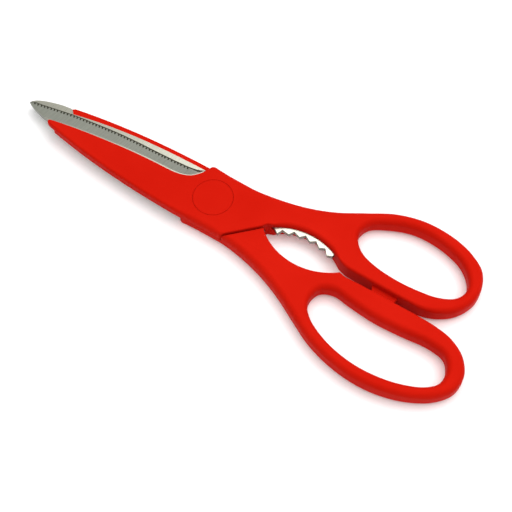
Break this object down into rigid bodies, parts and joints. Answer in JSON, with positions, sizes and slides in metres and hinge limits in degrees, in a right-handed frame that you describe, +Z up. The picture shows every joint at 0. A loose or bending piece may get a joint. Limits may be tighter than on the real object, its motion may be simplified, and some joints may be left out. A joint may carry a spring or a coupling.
{
  "type": "poultry shears",
  "caption": "Kitchen and poultry shears with plastic-covered steel blades, a capped pivot, a toothed crusher opening and closed thumb and finger loops.",
  "frame": {"origin": "on the pivot axis, at the flat underside of the back pivot cap, which is the plane the shears lie on", "axes": "+Z up along the pivot axis, -X towards the blade tips, +X towards the loops, +Y towards the thumb loop"},
  "size_m": [0.2109, 0.0725, 0.009],
  "materials": {
    "grip_plastic": "moulded red plastic with a fine satin surface",
    "blade_steel": "ground stainless steel",
    "pivot_steel": "turned steel"
  },
  "bodies": {
    "finger_half": {"finger_blade": "blade_steel", "finger_grip": "grip_plastic", "back_cap": "grip_plastic", "pivot_sleeve": "pivot_steel", "pivot_screw": "pivot_steel", "flat_washer": "pivot_steel"},
    "thumb_half": {"thumb_blade": "blade_steel", "thumb_grip": "grip_plastic", "front_cap": "grip_plastic", "spring_washer": "pivot_steel"}
  },
  "joints": [
    {"name": "pivot", "type": "hinge", "parent": "finger_half", "child": "thumb_half", "pos_m": [0, 0, 0.0045], "axis": [0, 0, 1], "range_deg": [0, 70]}
  ]
}
